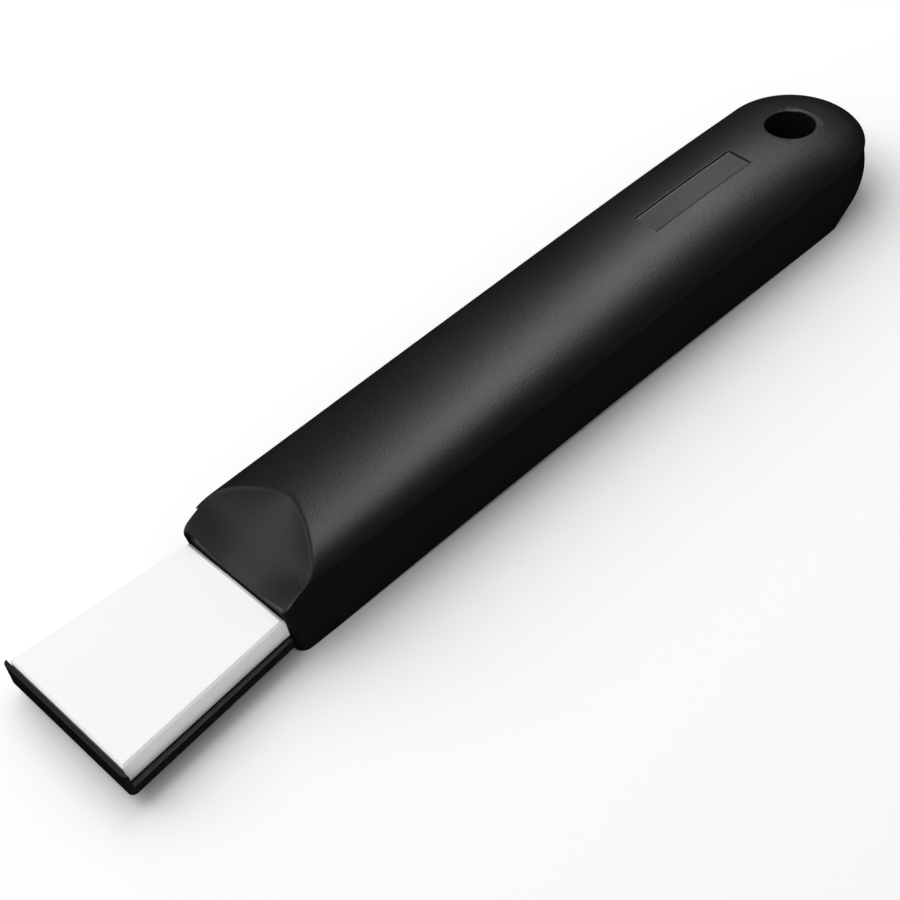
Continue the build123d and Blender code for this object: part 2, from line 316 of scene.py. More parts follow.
def spread(low, high, count):
    """Places in even steps from one place to another, without the first."""
    return [low + (high - low) * step for step in smooth_steps(count)[1:]]


def quarter_steps(count):
    """Shares up to 1 that crowd together as on a quarter circle, without the first."""
    return [math.sin(math.radians(90 * step)) for step in smooth_steps(count)[1:]]


def clamped(value):
    """A value kept between 0 and 1."""
    return min(1.0, max(0.0, value))


def eased(value):
    """A share from 0 to 1 that starts and ends gently."""
    part = clamped(value)
    return part**2 * (3 - 2 * part)


# Handle's outline


def seam_z(x):
    """Height of the line where the two shells meet."""
    return SEAM_FRONT_Z - (SEAM_FRONT_Z - SEAM_TAIL_Z) * (x - nose_x) / HANDLE_LENGTH


def half_width(x, inset=0.0):
    """Half the handle's width at a station."""
    body = HANDLE_WIDTH / 2 - (min(x, round_start) - widest_x) ** 2 / (2 * SIDE_RADIUS) - inset
    reach = max(0.0, (x - round_start) / (TAIL_ROUND - inset))
    return body * math.sqrt(max(0.0, 1 - reach**2))


def arch_rise(x):
    """Height of the arch's top line above the seam."""
    reach = max(0.0, (x - fall_start) / TAIL_FALL)
    return (HANDLE_TOP_Z - seam_z(x)) * math.sqrt(max(0.0, 1 - reach**2))


def arch_z(x, y):
    """Height of the arch over a place in plan."""
    across = min(1.0, abs(y) / max(half_width(x), TINY))
    return seam_z(x) + arch_rise(x) * math.sqrt(1 - across**2)


def foot_lift(x, y):
    """How far the scoop's foot swells above the cone, most of all at the sides."""
    ahead = eased((nose_x + FOOT_START - x) / FOOT_LENGTH)
    aside = eased((abs(y) - FOOT_SIDE_START) / FOOT_SIDE_LENGTH)
    return ahead * (FOOT_LIFT + FOOT_SIDE_LIFT * aside)


def scoop_z(x, y):
    """Height of the scoop over a place in plan: a cone that swells at its foot."""
    ahead = x - apex_x
    lean, lift = math.cos(SCOOP_AXIS), math.sin(SCOOP_AXIS)
    opening = math.cos(SCOOP_HALF) ** 2
    square = lift**2 - opening
    linear = 2 * lean * lift * ahead
    rest = (lean**2 - opening) * ahead**2 - opening * y**2
    root = math.sqrt(max(0.0, linear**2 - 4 * square * rest))
    return apex_z + (root - linear) / (2 * square) + foot_lift(x, y)


def underside_z(x):
    """Height of the underside: two feet, a slight hollow between them and a rise at the tail."""
    if x > rise_start:
        return min((x - rise_start) * math.tan(TAIL_RISE_ANGLE), SEAM_TAIL_Z - TAIL_WALL)
    reach = (2 * x - sole_start - sole_end) / (sole_end - sole_start)
    return UNDERSIDE_RISE * max(0.0, 1 - reach**2)


def crossing(low, high, above):
    """Place between two stations where a surface starts to lie above another."""
    for _ in range(40):
        middle = (low + high) / 2
        if above(middle):
            high = middle
        else:
            low = middle
    return (low + high) / 2


def panel_share(x):
    """Where the panel's long edges lie, as a share of the turn from the ridge to the seam."""
    return math.asin(PANEL_WIDTH / 2 / half_width(min(x, round_start))) / math.radians(90)


def arch_place(x, column, edge):
    """Side and height of a column on the arch.

    Columns run from -1 to 1, from seam to seam. Past that a column rounds the lower edge.
    """
    side, reach = math.copysign(1.0, column), abs(column)
    across = panel_share(x)
    if reach <= panel_column:
        across *= reach / panel_column
    else:
        across += (1 - across) * min(1.0, (reach - panel_column) / (1 - panel_column))
    rise = arch_rise(x)
    corner = min(edge, CORNER_SHARE * rise, CORNER_SHARE * half_width(x))
    roll = math.radians(90 * max(0.0, reach - 1))
    turn = across * (math.acos(min(1.0, corner / rise)) if rise > TINY else 0.0)
    above = rise * math.cos(turn)
    flare = SEAM_FLARE * clamped(1 - (above - corner) / FLARE_HEIGHT)
    flare *= half_width(x) / (HANDLE_WIDTH / 2) * eased((x - nose_x - FOOT_START) / FOOT_LENGTH)
    y = half_width(x) * math.sin(turn) - corner * (1 - math.cos(roll)) + flare
    return side * y, seam_z(x) + above - corner * math.sin(roll)


# Mesh helpers


def mapped_grid(across, along, place):
    """A grid whose points go where place(i, j) says, and its points by row."""
    bm = bmesh.new()
    bmesh.ops.create_grid(bm, x_segments=across, y_segments=along, size=1.0)
    rows = {}
    for vert in bm.verts:
        i = round((vert.co.x + 1) / 2 * across)
        j = round((vert.co.y + 1) / 2 * along)
        vert.co = place(i, j)
        rows.setdefault(j, set()).add(vert)
    return bm, rows


def prism(across, along, place, move):
    """A mapped grid pushed through to make a closed block."""
    bm, _ = mapped_grid(across, along, place)
    bmesh.ops.remove_doubles(bm, verts=bm.verts, dist=MERGE)
    made = bmesh.ops.extrude_face_region(bm, geom=bm.faces[:], use_keep_orig=True)
    verts = [item for item in made["geom"] if isinstance(item, bmesh.types.BMVert)]
    bmesh.ops.translate(bm, verts=verts, vec=move)
    bmesh.ops.recalc_face_normals(bm, faces=bm.faces)
    return bm


def wedge(low_x, high_x, low_width, high_width, low_z, high_z):
    """A closed block that narrows evenly from one end to the other."""
    ends = (low_x, high_x)
    halves = (low_width / 2, high_width / 2)

    def place(i, j):
        return Vector((ends[j], (2 * i - 1) * halves[j], low_z))

    return prism(1, 1, place, (0, 0, high_z - low_z))


def soften(bm, test, offset, segments):
    """Bevels the edges between two faces that pass a test."""
    bm.normal_update()
    edges = [edge for edge in bm.edges if len(edge.link_faces) == 2 and test(edge)]
    if edges and offset > 0:
        bmesh.ops.bevel(
            bm,
            geom=edges,
            offset=offset,
            offset_type="OFFSET",
            segments=segments,
            profile=0.5,
            affect="EDGES",
            clamp_overlap=True,
            material=-1,
        )


def is_sharp(edge, degrees=30.0):
    """True for an edge whose faces meet at more than an angle."""
    return edge.calc_face_angle(0.0) > math.radians(degrees)


def tilts(edge):
    """Upward parts of the normals beside an edge, the lower one first."""
    return sorted(face.normal.z for face in edge.link_faces)


def border(faces):
    """The edges round a patch of faces."""
    inside = set(faces)
    return [
        edge
        for face in faces
        for edge in face.edges
        if sum(other in inside for other in edge.link_faces) == 1
    ]


def temporary(bm, name):
    """An object that holds a mesh in hand for a moment."""
    mesh = bpy.data.meshes.new(name)
    bm.to_mesh(mesh)
    bm.free()
    obj = bpy.data.objects.new(name, mesh)
    bpy.context.scene.collection.objects.link(obj)
    return obj


def combined(bm, cutter, operation):
    """The mesh cut by, joined to or kept inside another closed mesh."""
    base, tool = temporary(bm, "base"), temporary(cutter, "tool")
    modifier = base.modifiers.new("cut", "BOOLEAN")
    modifier.operation = operation
    modifier.solver = "EXACT"
    modifier.object = tool
    bpy.context.view_layer.update()
    shown = base.evaluated_get(bpy.context.evaluated_depsgraph_get())
    result = bmesh.new()
    result.from_mesh(shown.to_mesh())
    shown.to_mesh_clear()
    for obj in (base, tool):
        mesh = obj.data
        bpy.data.objects.remove(obj)
        bpy.data.meshes.remove(mesh)
    bmesh.ops.remove_doubles(result, verts=result.verts, dist=MERGE)
    bmesh.ops.dissolve_degenerate(result, edges=result.edges, dist=MERGE)
    return result


def finish_piece(bm, name, materials, node):
    """Turns a mesh in millimetres into a piece whose flat faces stay flat beside rounded edges."""
    bmesh.ops.scale(bm, vec=(MM, MM, MM), verts=bm.verts)
    mesh = bpy.data.meshes.new(name)
    bm.to_mesh(mesh)
    bm.free()
    mesh.shade_smooth()
    mesh.set_sharp_from_angle(angle=SHADE_ANGLE)
    for material in materials:
        mesh.materials.append(bpy.data.materials[material])
    obj = bpy.data.objects.new(name, mesh)
    bpy.context.scene.collection.objects.link(obj)
    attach(obj, BODY)
    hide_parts(node)
    modifier = obj.modifiers.new("weighted normals", "WEIGHTED_NORMAL")
    modifier.keep_sharp = True
    modifier.weight = FACE_WEIGHT


# Node groups and materials


def group_with(name, inputs, outputs):
    """An empty shader node group with named sockets."""
    tree = bpy.data.node_groups.new(name, "ShaderNodeTree")
    for label, default in inputs:
        kind = "NodeSocketVector" if default is None else "NodeSocketFloat"
        socket = tree.interface.new_socket(name=label, in_out="INPUT", socket_type=kind)
        if default is not None:
            socket.default_value = default
    for label in outputs:
        tree.interface.new_socket(name=label, in_out="OUTPUT", socket_type="NodeSocketFloat")
    return tree, tree.nodes.new("NodeGroupInput"), tree.nodes.new("NodeGroupOutput")


def set_or_link(tree, socket, value):
    """Gives a socket a number, or the output of another node."""
    if isinstance(value, (int, float)):
        socket.default_value = value
    else:
        tree.links.new(value, socket)


def noise(tree, vector, scale, detail, roughness=0.5):
    """A noise texture on a vector."""
    node = tree.nodes.new("ShaderNodeTexNoise")
    node.inputs["Detail"].default_value = detail
    node.inputs["Roughness"].default_value = roughness
    set_or_link(tree, node.inputs["Scale"], scale)
    tree.links.new(vector, node.inputs["Vector"])
    return node.outputs["Fac"]


def math_node(tree, operation, first, second):
    """A math node between sockets or numbers."""
    node = tree.nodes.new("ShaderNodeMath")
    node.operation = operation
    set_or_link(tree, node.inputs[0], first)
    set_or_link(tree, node.inputs[1], second)
    return node.outputs[0]


def spread_to(tree, value, low, high):
    """Maps the middle of a noise to a range."""
    node = tree.nodes.new("ShaderNodeMapRange")
    node.inputs["From Min"].default_value = 0.3
    node.inputs["From Max"].default_value = 0.7
    node.inputs["To Min"].default_value = low
    node.inputs["To Max"].default_value = high
    tree.links.new(value, node.inputs["Value"])
    return node.outputs["Result"]


def grain_group():
    """Moulded grain: fine pits in a height, and slow patches for the finish."""
    tree, given, result = group_with(
        "moulded_grain", [("Vector", None), ("Size", 3200.0)], ["Height", "Patches"]
    )
    vector, scale = given.outputs["Vector"], given.outputs["Size"]
    fine = noise(tree, vector, scale, detail=1.0)
    coarse = noise(tree, vector, math_node(tree, "MULTIPLY", scale, RIPPLE_SCALE), detail=2.0)
    height = math_node(
        tree,
        "ADD",
        math_node(tree, "MULTIPLY", fine, PIT_SHARE),
        math_node(tree, "MULTIPLY", coarse, RIPPLE_SHARE),
    )
    tree.links.new(height, result.inputs["Height"])
    patches = noise(tree, vector, PATCH_SCALE, detail=3.0, roughness=0.6)
    tree.links.new(patches, result.inputs["Patches"])


def tint_group():
    """Slight change of a colour over the surface."""
    tree, given, result = group_with(
        "surface_tint", [("Fac", 0.5), ("Amount", 0.1)], ["Value"]
    )
    centred = math_node(tree, "SUBTRACT", given.outputs["Fac"], 0.5)
    scaled = math_node(tree, "MULTIPLY", centred, given.outputs["Amount"])
    tree.links.new(math_node(tree, "ADD", scaled, 1.0), result.inputs["Value"])


def material_start(name):
    """A new material with its node tree and shader."""
    material = bpy.data.materials.new(name)
    material.use_nodes = True
    tree = material.node_tree
    return material, tree, tree.nodes["Principled BSDF"]


def use_group(tree, name, **values):
    """Places a shared group in a material."""
    node = tree.nodes.new("ShaderNodeGroup")
    node.node_tree = bpy.data.node_groups[name]
    for label, value in values.items():
        set_or_link(tree, node.inputs[label], value)
    return node.outputs


def textured(name, base, size_per_metre, tint):
    """A material whose colour changes slightly over the surface, and its grain."""
    _, tree, shader = material_start(name)
    vector = tree.nodes.new("ShaderNodeTexCoord").outputs["Object"]
    texture = use_group(tree, "moulded_grain", Vector=vector, Size=size_per_metre)
    change = use_group(tree, "surface_tint", Fac=texture["Patches"], Amount=tint)
    node = tree.nodes.new("ShaderNodeVectorMath")
    node.operation = "SCALE"
    node.inputs[0].default_value = base[:3]
    tree.links.new(change["Value"], node.inputs["Scale"])
    tree.links.new(node.outputs[0], shader.inputs["Base Color"])
    return tree, shader, texture


def moulded(name, base, roughness, grain, size_per_metre):
    """Moulded plastic, ceramic or foam, with grain in its height and patches in its finish."""
    tree, shader, texture = textured(name, base, size_per_metre, tint=0.25)
    patchy = spread_to(tree, texture["Patches"], roughness * 0.94, roughness * 1.06)
    tree.links.new(patchy, shader.inputs["Roughness"])
    bump = tree.nodes.new("ShaderNodeBump")
    bump.inputs["Strength"].default_value = grain
    bump.inputs["Distance"].default_value = GRAIN_DEPTH * MM
    tree.links.new(texture["Height"], bump.inputs["Height"])
    tree.links.new(bump.outputs["Normal"], shader.inputs["Normal"])


def steel(name):
    """Zinc-plated steel with a fine uneven finish."""
    tree, shader, texture = textured(name, ZINC_COLOUR, 2600.0, tint=0.3)
    shader.inputs["Metallic"].default_value = 1.0
    tree.links.new(spread_to(tree, texture["Height"], 0.28, 0.42), shader.inputs["Roughness"])


# Pieces


class SCRAPER_OT_finishes(bpy.types.Operator):
    """Makes the shared node groups and the materials"""

    bl_idname = "scraper.finishes"
    bl_label = "Finishes"

    def execute(self, context):
        grain_group()
        tint_group()
        handle = context.scene.scraper_handle
        tray = context.scene.scraper_tray
        block = context.scene.scraper_block
        for name, base, roughness, grain, size_per_metre in (
            ("handle_grained", handle.plastic, handle.roughness, handle.grain, 3200.0),
            ("handle_smooth", handle.plastic, 0.36, 0.05, 1500.0),
            ("tray_satin", tray.plastic, 0.4, 0.08, 2600.0),
            ("white_ceramic", block.ceramic, 0.32, 0.05, 5200.0),
            ("adhesive_foam", FOAM_COLOUR, 0.85, 0.5, 1800.0),
        ):
            moulded(name, base, roughness, grain, size_per_metre)
        steel("zinc_steel")
        return {"FINISHED"}


class SCRAPER_OT_handle_top(bpy.types.Operator):
    """Builds the arched upper shell with its scoop, hanging hole and plain panel"""

    bl_idname = "scraper.handle_top"
    bl_label = "Upper shell"

    def execute(self, context):
        settings = context.scene.scraper_handle
        edge = settings.seam_round / MM
        halves = spread(0, 1, HALF_COLUMNS) + spread(1, 2, EDGE_COLUMNS)
        columns = [-column for column in reversed(halves)] + [0.0] + halves
        bm, rows = self.arch(columns, edge, RIM_SPAN_SHARE * settings.rim_round / MM)
        for j in range(SCOOP_ROWS + 1):
            for vert in rows[j]:
                for face in vert.link_faces:
                    face.material_index = 1
        bmesh.ops.remove_doubles(bm, verts=bm.verts, dist=SHELL_MERGE)
        bmesh.ops.dissolve_degenerate(bm, edges=bm.edges, dist=SHELL_MERGE)
        bm.normal_update()
        top = max(bm.faces, key=lambda face: face.calc_center_median().z)
        if top.normal.z < 0:
            bmesh.ops.reverse_faces(bm, faces=bm.faces)
        self.sink_panel(bm, settings)
        self.pierce(bm, settings)
        outline = [item for item in bm.edges if item.is_boundary]
        bmesh.ops.triangle_fill(bm, use_beauty=True, use_dissolve=False, edges=outline)
        bmesh.ops.recalc_face_normals(bm, faces=bm.faces)
        finish_piece(
            bm,
            "upper_handle_shell",
            ("handle_grained", "handle_smooth"),
            "handle_top_shell",
        )
        return {"FINISHED"}

    def rim_points(self, columns, edge):
        """Where each column meets the scoop, and where the scoop then reaches the seam."""
        points = []
        for column in columns:

            def over_arch(x, column=column):
                y, z = arch_place(x, column, edge)
                return scoop_z(x, y) > z

            rim_x = crossing(nose_x - RIM_SEARCH, apex_x, over_arch)
            rim_y, rim_z = arch_place(rim_x, column, edge)

            def over_seam(x, y=rim_y):
                return scoop_z(x, y) > seam_z(x)

            foot_x = min(crossing(nose_x - FOOT_SEARCH, rim_x, over_seam), rim_x)
            points.append((Vector((rim_x, rim_y, rim_z)), foot_x))
        return points

    def arch(self, columns, edge, rim_round):
        """The scoop, its rounded rim and the arch behind it as one grid."""
        points = self.rim_points(columns, edge)
        blend_end = nose_x + BLEND_REACH
        stations = spread(blend_end, panel_front_x, BODY_ROWS)
        stations += spread(panel_front_x, panel_rear_x, PANEL_ROWS)
        stations += spread(panel_rear_x, round_start, REAR_ROWS)
        stations += [round_start + TAIL_ROUND * step for step in quarter_steps(TAIL_ROWS)]

        def place(i, j):
            rim, foot_x = points[i]
            run = rim.x - foot_x
            before = rim.x - min(RIM_FRONT_SHARE * rim_round, RIM_FRONT_RUN_SHARE * run)
            after = rim.x + min(rim_round, RIM_REAR_RUN_SHARE * run)
            low = Vector((before, rim.y, scoop_z(before, rim.y)))
            high = Vector((after, *arch_place(after, columns[i], edge)))
            if j <= SCOOP_ROWS:
                x = foot_x + (before - foot_x) * j / SCOOP_ROWS
                return Vector((x, rim.y, scoop_z(x, rim.y)))
            j -= SCOOP_ROWS
            if j <= RIM_ROWS:
                t = j / RIM_ROWS
                return low * (1 - t) ** 2 + rim * (2 * t * (1 - t)) + high * t**2
            j -= RIM_ROWS
            if j <= BLEND_ROWS:
                x = after + (blend_end - after) * j / BLEND_ROWS
            else:
                x = stations[j - BLEND_ROWS - 1]
            return Vector((x, *arch_place(x, columns[i], edge)))

        along = SCOOP_ROWS + RIM_ROWS + BLEND_ROWS + len(stations)
        return mapped_grid(len(columns) - 1, along, place)

    def sink_panel(self, bm, settings):
        """Sinks the panel's floor into the arch."""

        def in_panel(face):
            x, y, z = face.calc_center_median()
            in_plan = panel_front_x < x < panel_rear_x and abs(y) < PANEL_WIDTH / 2
            return in_plan and z > seam_z(x) + PANEL_ABOVE_SEAM

        floor = [face for face in bm.faces if in_panel(face)]
        outline = set(border(floor))
        for item in bm.edges:
            item.seam = item in outline
        bmesh.ops.inset_region(
            bm, faces=floor, thickness=PANEL_WALL_RUN, use_even_offset=True, use_boundary=True
        )
        for face in floor:
            face.material_index = 1
        depth = settings.panel_depth / MM
        for vert in {item for face in floor for item in face.verts}:
            vert.co.z = seam_z(vert.co.x) + arch_rise(vert.co.x) - depth
        soften(bm, lambda item: item.seam, settings.panel_round / MM, 2)

    def pierce(self, bm, settings):
        """Opens the hanging hole: rings of faces run from a square opening to the round edge."""
        edge_round = settings.hole_round / MM
        radius = settings.hole_radius / MM
        outer = radius + edge_round
        reach = radius + HOLE_SURROUND
        centre = Vector((hole_x, 0))

        def near_hole(face):
            place = face.calc_center_median()
            return abs(place.x - hole_x) < reach and abs(place.y) < reach

        def from_centre(vert):
            return (vert.co.xy - centre).length

        def ring_place(vert, step, start):
            """Where a point of a ring goes: inwards on the arch, round the edge, then down."""
            outward = (vert.co.xy - centre).normalized()
            if step < len(HOLE_RINGS):
                place = centre + outward * (start + (outer - start) * HOLE_RINGS[step])
                return place.x, place.y, arch_z(place.x, place.y)
            step -= len(HOLE_RINGS)
            if step < len(HOLE_TURNS):
                turn = math.radians(HOLE_TURNS[step])
                brink = centre + outward * outer
                place = centre + outward * (outer - edge_round * math.sin(turn))
                drop = edge_round * (1 - math.cos(turn))
                return place.x, place.y, arch_z(brink.x, brink.y) - drop
            return vert.co.x, vert.co.y, seam_z(vert.co.x)

        doomed = [face for face in bm.faces if near_hole(face)]
        loop = border(doomed)
        bmesh.ops.delete(bm, geom=doomed, context="FACES")
        starts = {vert: from_centre(vert) for item in loop for vert in item.verts}
        for step in range(len(HOLE_RINGS) + len(HOLE_TURNS) + 1):
            made = bmesh.ops.extrude_edge_only(bm, edges=loop)["geom"]
            ring = [item for item in made if isinstance(item, bmesh.types.BMVert)]
            edges = [item for item in made if isinstance(item, bmesh.types.BMEdge)]
            loop = [item for item in edges if item.is_boundary]
            followed = {}
            for vert in ring:
                others = [item.other_vert(vert) for item in vert.link_edges]
                followed[vert] = next(starts[other] for other in others if other in starts)
                vert.co = ring_place(vert, step, followed[vert])
            starts = followed


class SCRAPER_OT_handle_bottom(bpy.types.Operator):
    """Builds the lower shell with its walls, feet, tray pocket and screw pockets"""

    bl_idname = "scraper.handle_bottom"
    bl_label = "Lower shell"

    def execute(self, context):
        settings = context.scene.scraper_handle
        rim_round = settings.rim_round / MM
        radius = settings.hole_radius / MM
        bm = combined(self.plan_block(), self.side_block(), "INTERSECT")
        self.round_outline(bm)
        bm = combined(bm, self.scoop_cutter(rim_round), "DIFFERENCE")
        for face in bm.faces:
            face.material_index = int(self.in_scoop(face, rim_round))

        width = BLOCK_REAR_WIDTH + 2 * POCKET_GAP
        pocket = wedge(nose_x - OVERRUN, pocket_x, width, width, TRAY_LIFT, HANDLE_TOP_Z)
        bm = combined(bm, pocket, "DIFFERENCE")
        for along, y in SCREW_PLACES:
            x = nose_x + along
            seat = underside_z(x) + SCREW_SEAT
            cutter = self.round_cutter(x, y, POCKET_RADIUS, -OVERRUN, seat, POCKET_SIDES)
            bm = combined(bm, cutter, "DIFFERENCE")
        high = HANDLE_TOP_Z + OVERRUN
        hole = self.round_cutter(hole_x, 0, radius, -OVERRUN, high, HOLE_SIDES)
        bm = combined(bm, hole, "DIFFERENCE")

        def hole_foot(item):
            centre = (item.verts[0].co + item.verts[1].co) / 2
            off = abs(math.hypot(centre.x - hole_x, centre.y) - radius)
            clear = centre.x > rise_start + HOLE_FOOT_CLEAR
            return clear and off < HOLE_TOUCH and tilts(item)[0] < DOWNWARD and is_sharp(item)

        soften(bm, hole_foot, HOLE_FOOT_ROUND, 3)
        finish_piece(
            bm,
            "lower_handle_shell",
            ("handle_grained", "handle_smooth"),
            "handle_bottom_shell",
        )
        return {"FINISHED"}

    def plan_block(self):
        """The shell's outline in plan, as a tall block."""
        inner_round = TAIL_ROUND - SEAM_STEP
        stations = [nose_x - OVERRUN, sole_start]
        stations += spread(sole_start, round_start, WALL_ROWS)
        stations += [round_start + inner_round * step for step in quarter_steps(WALL_TAIL_ROWS)]

        def place(i, j):
            x = stations[j]
            return Vector((x, (2 * i - 1) * half_width(x, SEAM_STEP), -OVERRUN))

        return prism(1, len(stations) - 1, place, (0, 0, 4 * OVERRUN))

    def side_block(self):
        """The shell's outline from the side, as a wide block."""
        lip_x = rise_start + (SEAM_TAIL_Z - TAIL_WALL) / math.tan(TAIL_RISE_ANGLE)
        stations = [nose_x, sole_start] + spread(sole_start, sole_end, SOLE_ROWS)
        stations += [rise_start, lip_x, tail_x + OVERRUN]

        def place(i, j):
            x = stations[j]
            z = seam_z(x) if i else underside_z(x)
            if j == 0:
                x -= z * math.tan(FRONT_LEAN)
            return Vector((x, -2 * OVERRUN, z))

        return prism(1, len(stations) - 1, place, (0, 4 * OVERRUN, 0))

    def round_outline(self, bm):
        """Rounds the front corners, the underside and the brim."""

        def corner(item):
            normals = [face.normal for face in item.link_faces]
            ahead = min(normal.x for normal in normals) < -SQUARE_ON
            return ahead and max(abs(normal.y) for normal in normals) > SQUARE_ON

        def foot(item):
            low, high = tilts(item)
            return low < DOWNWARD and abs(high) < UPRIGHT

        def brim(item):
            low, high = tilts(item)
            return high > SQUARE_ON and abs(low) < UPRIGHT

        soften(bm, corner, FRONT_CORNER, 6)
        soften(bm, foot, BOTTOM_ROUND, 4)
        soften(bm, brim, BRIM_ROUND, 2)

    def in_scoop(self, face, rim_round):
        """True for a face that the scoop's cutter left."""
        centre = face.calc_center_median()
        above = scoop_z(centre.x, centre.y) - centre.z
        on_scoop = -SCOOP_TOUCH < above < rim_round + SCOOP_TOUCH
        return on_scoop and face.normal.z > SCOOP_TILT and centre.x < apex_x - SCOOP_END

    def scoop_cutter(self, rim_round):
        """Everything above the scoop, with a surface that rolls down at the shell's outline."""
        halves = [half_width(nose_x, SEAM_STEP) - step for step in RIM_STEPS]
        outline_y = halves[1]
        middle = [halves[-1] * (1 - step / CUTTER_COLUMNS) for step in range(1, CUTTER_COLUMNS + 1)]
        across = halves + middle
        across += [-y for y in reversed(across[:-1])]
        last, run = RIM_STEPS[-1], apex_x - nose_x
        along = [*RIM_STEPS, *(last + run * step for step in smooth_steps(CUTTER_ROWS)[1:])]

        def place(i, j):
            ahead, y = along[j], across[i]
            aside = outline_y - abs(y)
            x = nose_x - scoop_z(nose_x, y) * math.tan(FRONT_LEAN) + ahead
            inside = min(ahead, aside)
            if max(ahead, aside) < FRONT_CORNER:
                inside = FRONT_CORNER - math.hypot(FRONT_CORNER - ahead, FRONT_CORNER - aside)
            roll = clamped(1 - inside / rim_round)
            return Vector((x, y, scoop_z(x, y) - rim_round * (1 - math.sqrt(1 - roll**2))))

        return prism(len(across) - 1, len(along) - 1, place, (0, 0, 2 * HANDLE_TOP_Z))

    def round_cutter(self, x, y, radius, low, high, segments):
        """A round cutter between two heights."""
        bm = bmesh.new()
        bmesh.ops.create_cone(
            bm,
            cap_ends=True,
            segments=segments,
            radius1=radius,
            radius2=radius,
            depth=high - low,
            matrix=Matrix.Translation((x, y, (low + high) / 2)),
        )
        return bm


class SCRAPER_OT_tray(bpy.types.Operator):
    """Builds the tray with its floor, side rims, front lip and tongue"""

    bl_idname = "scraper.tray"
    bl_label = "Tray"

    def execute(self, context):
        settings = context.scene.scraper_tray
        behind_lip = tip_x + LIP_THICKNESS
        above = LIP_Z + OVERRUN
        bm = wedge(tip_x, tray_rear_x, TRAY_FRONT_WIDTH, TRAY_REAR_WIDTH, TRAY_LIFT, LIP_Z)

        def upright_corner(item):
            low, high = item.verts
            return abs(low.co.z - high.co.z) > 1 and low.co.x < tip_x + NEAR

        def lip_top(item):
            return min(vert.co.z for vert in item.verts) > LIP_Z - HAIR and is_sharp(item)

        def low_edge(item):
            highest = max(vert.co.z for vert in item.verts)
            return highest < RIM_Z + NEAR and is_sharp(item, degrees=40)

        def tongue_edge(item):
            return min(vert.co.x for vert in item.verts) > pocket_x + 1 and is_sharp(item)

        soften(bm, upright_corner, TRAY_CORNER, 6)
        widths = BLOCK_FRONT_WIDTH + 2 * GROOVE, BLOCK_REAR_WIDTH + 2 * GROOVE
        bm = combined(bm, wedge(behind_lip, nose_x, *widths, TRAY_FLOOR_Z, above), "DIFFERENCE")
        widths = 2 * TRAY_FRONT_WIDTH, 2 * TRAY_FRONT_WIDTH
        bm = combined(bm, wedge(behind_lip, nose_x, *widths, RIM_Z, above), "DIFFERENCE")
        soften(bm, lip_top, settings.lip_round / MM, 4)
        soften(bm, low_edge, settings.edge_round / MM, 2)

        widths = TONGUE_WIDTH, TONGUE_WIDTH
        end_x, low_z = nose_x + TONGUE_LENGTH, TRAY_LIFT + TONGUE_LIFT
        tongue = wedge(pocket_x, end_x, *widths, low_z, TONGUE_TOP_Z)
        soften(tongue, tongue_edge, TONGUE_ROUND, 3)
        widths = TONGUE_WIDTH - 2 * NECK_INSET, TONGUE_WIDTH - 2 * NECK_INSET
        low_z, high_z = TRAY_LIFT + NECK_INSET, TRAY_FLOOR_Z - NECK_INSET
        neck = wedge(tray_rear_x - NECK_OVERLAP, pocket_x + NECK_OVERLAP, *widths, low_z, high_z)
        bm = combined(combined(bm, neck, "UNION"), tongue, "UNION")
        finish_piece(bm, "block_tray", ("tray_satin",), "head_tray")
        return {"FINISHED"}


class SCRAPER_OT_block(bpy.types.Operator):
    """Builds the white ceramic block with its bevels"""

    bl_idname = "scraper.block"
    bl_label = "Ceramic block"

    def execute(self, context):
        settings = context.scene.scraper_block
        top_z = BLOCK_BOTTOM_Z + BLOCK_HEIGHT
        widths = BLOCK_FRONT_WIDTH, BLOCK_REAR_WIDTH
        bm = wedge(block_front_x, block_rear_x, *widths, BLOCK_BOTTOM_Z, top_z)

        def on_top(item):
            return min(vert.co.z for vert in item.verts) > top_z - HAIR

        def rear(item):
            return on_top(item) and min(vert.co.x for vert in item.verts) > block_rear_x - HAIR

        def front_or_side(item):
            ahead = max(vert.co.x for vert in item.verts) < block_rear_x
            return ahead and on_top(item) and is_sharp(item, degrees=80)

        soften(bm, rear, settings.rear_bevel / MM, 1)
        soften(bm, front_or_side, settings.bevel / MM, 1)
        soften(bm, lambda item: is_sharp(item, degrees=25), settings.edge_round / MM, 2)
        finish_piece(bm, "white_block", ("white_ceramic",), "ceramic_block")
        return {"FINISHED"}


class SCRAPER_OT_inner_parts(bpy.types.Operator):
    """Gives the adhesive pad and the screws their materials"""

    bl_idname = "scraper.inner_parts"
    bl_label = "Pad and screws"

    def execute(self, context):
        finishes = {
            "block_adhesive_pad": "adhesive_foam",
            "tongue_screws": "zinc_steel",
            "shell_screws": "zinc_steel",
        }
        for node, name in finishes.items():
            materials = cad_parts[node].data.materials
            materials.clear()
            materials.append(bpy.data.materials[name])
        return {"FINISHED"}


